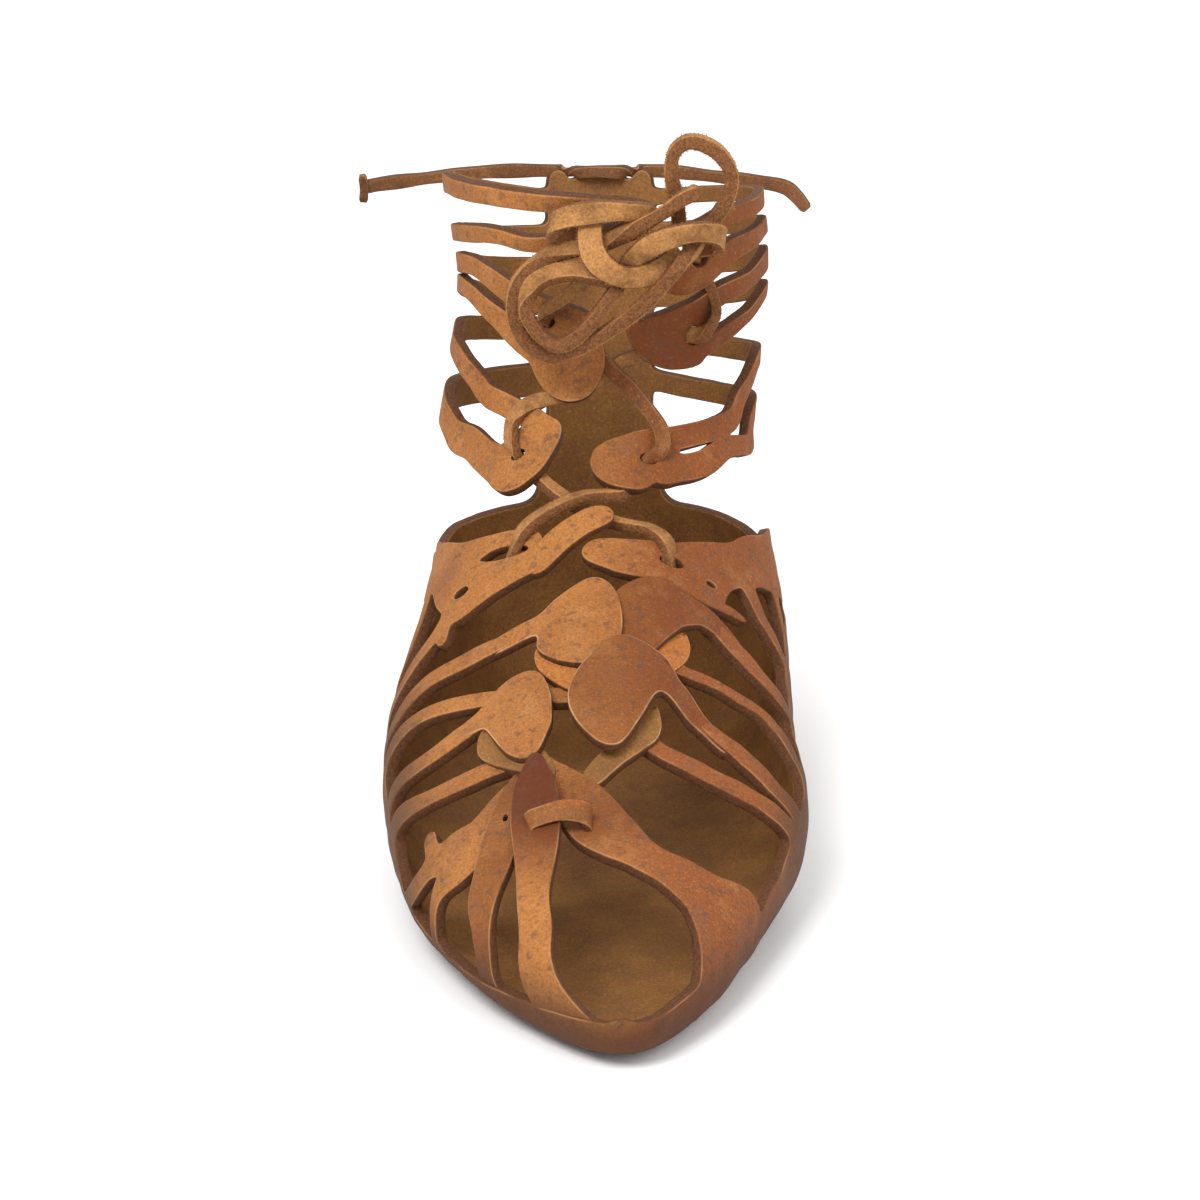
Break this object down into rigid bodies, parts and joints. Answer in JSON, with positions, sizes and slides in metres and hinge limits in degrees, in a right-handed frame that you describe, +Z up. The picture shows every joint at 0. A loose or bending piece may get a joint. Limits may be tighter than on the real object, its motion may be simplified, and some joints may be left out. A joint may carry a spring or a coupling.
{
  "type": "gladiator sandal",
  "caption": "Ankle-high open strap sandal for the right foot, sole and straps cut from one brown hide, closed with a leather lace tied in a bow at the front.",
  "frame": {"origin": "on the floor under the heel, on the middle line of the sole", "axes": "-Y points to the toe, +X to the big toe side of the right foot, +Z up"},
  "size_m": [0.1249, 0.274, 0.1861],
  "materials": {
    "hide_leather": "matt vegetable-tanned hide, mottled, with darker cut edges",
    "lace_leather": "rough thong, suede on one side",
    "latchet_leather": "matt",
    "thong_leather": "matt, frayed edges"
  },
  "bodies": {
    "root": {"hide": "hide_leather", "lace_left": "lace_leather", "lace_right": "lace_leather", "lace_bow": "lace_leather", "toe_latchet": "latchet_leather", "rear_thong": "thong_leather"}
  },
  "joints": []
}
